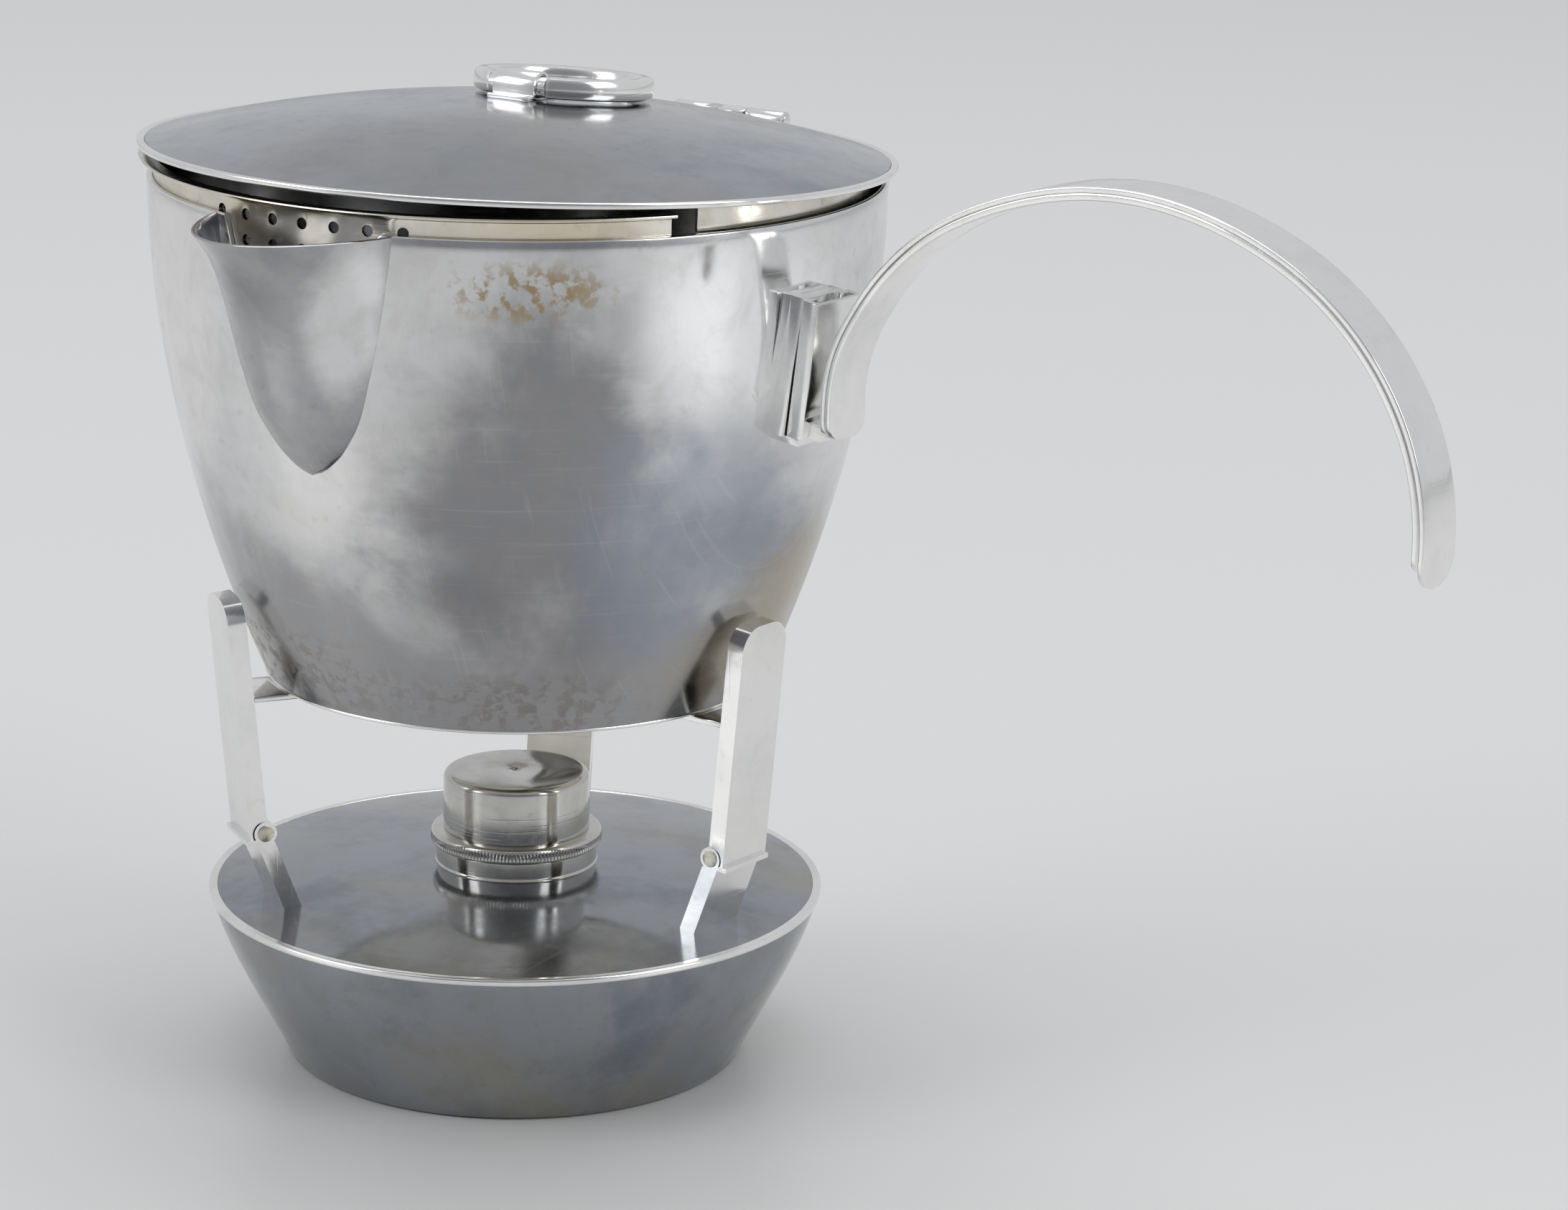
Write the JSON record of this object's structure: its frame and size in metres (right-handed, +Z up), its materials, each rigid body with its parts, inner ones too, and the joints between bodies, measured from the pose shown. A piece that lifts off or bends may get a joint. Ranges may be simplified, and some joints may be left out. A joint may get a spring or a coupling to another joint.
{
  "type": "spirit kettle on stand",
  "caption": "Metal kettle with a wide mouth, pouring lip, hinged lid and lift-off side handle, resting on a lamp stand whose legs fold in over a capped spirit burner.",
  "frame": {"origin": "middle of the face the base stands on", "axes": "+Z up, +X along the side handle, the spout points about -Y and the lid's hinge about +Y"},
  "size_m": [0.2536, 0.1555, 0.1803],
  "materials": {
    "silver": "old polished silver with light tarnish and fine scratches",
    "tube": "dull brass",
    "wick": "plain cotton"
  },
  "bodies": {
    "stand": {"base_dish": "silver", "base_top_plate": "silver", "base_rim_wire": "silver", "filler_collar": "silver", "leg_stub_1": "silver", "leg_pin_1": "silver", "leg_stub_2": "silver", "leg_pin_2": "silver", "leg_stub_3": "silver", "leg_pin_3": "silver"},
    "leg_1": {"leg_bar_1": "silver", "leg_bracket_1": "silver"},
    "leg_2": {"leg_bar_2": "silver", "leg_bracket_2": "silver"},
    "leg_3": {"leg_bar_3": "silver", "leg_bracket_3": "silver"},
    "burner": {"wick_holder": "silver", "wick_tube": "tube", "wick": "wick"},
    "cap": {"snuffer_cap": "silver"},
    "kettle": {"kettle_body": "silver", "kettle_bottom": "silver", "kettle_foot_wire": "silver", "spout_lip": "silver", "strainer_band": "silver", "handle_rail": "silver", "lid_hinge_seat": "silver", "lid_hinge_pin": "silver"},
    "handle": {"handle_sleeve": "silver", "handle_outer_strip": "silver", "handle_inner_strip": "silver"},
    "lid": {"lid_dome": "silver", "lid_edge_wire": "silver", "lid_flange": "silver", "ring_strap": "silver", "lid_hinge_leaf": "silver"},
    "ring": {"lid_ring": "silver"}
  },
  "joints": [
    {"name": "kettle_lift", "type": "slide", "parent": "stand", "child": "kettle", "axis": [0, 0, 1], "range_m": [0, 0.19]},
    {"name": "leg_1_fold", "type": "hinge", "parent": "stand", "child": "leg_1", "pos_m": [0.0495, 0, 0.047], "axis": [0, -1, 0], "range_deg": [0, 85]},
    {"name": "leg_2_fold", "type": "hinge", "parent": "stand", "child": "leg_2", "pos_m": [-0.02475, 0.04287, 0.047], "axis": [0.866, 0.5, 0], "range_deg": [0, 85]},
    {"name": "leg_3_fold", "type": "hinge", "parent": "stand", "child": "leg_3", "pos_m": [-0.02475, -0.04287, 0.047], "axis": [-0.866, 0.5, 0], "range_deg": [0, 85]},
    {"name": "lid_hinge", "type": "hinge", "parent": "kettle", "child": "lid", "pos_m": [-0.00603, 0.06894, 0.1634], "axis": [-0.9962, -0.0872, 0], "range_deg": [-0.35, 105]},
    {"name": "ring_flip", "type": "hinge", "parent": "lid", "child": "ring", "pos_m": [-0.00005, 0.00057, 0.17764], "axis": [0.9962, 0.0872, 0], "range_deg": [0, 180]},
    {"name": "handle_slide", "type": "slide", "parent": "kettle", "child": "handle", "axis": [0.1256, 0, 0.9921], "range_m": [0, 0.045]},
    {"name": "burner_turn", "type": "hinge", "parent": "stand", "child": "burner", "pos_m": [0, 0, 0.04], "axis": [0, 0, 1], "continuous": true},
    {"name": "cap_lift", "type": "slide", "parent": "burner", "child": "cap", "axis": [0, 0, -1], "range_m": [-0.018, 0]}
  ],
  "couplings": [
    {"joint": "leg_1_fold", "follows": "kettle_lift", "rad_per_m": 7.8},
    {"joint": "leg_2_fold", "follows": "kettle_lift", "rad_per_m": 7.8},
    {"joint": "leg_3_fold", "follows": "kettle_lift", "rad_per_m": 7.8}
  ]
}
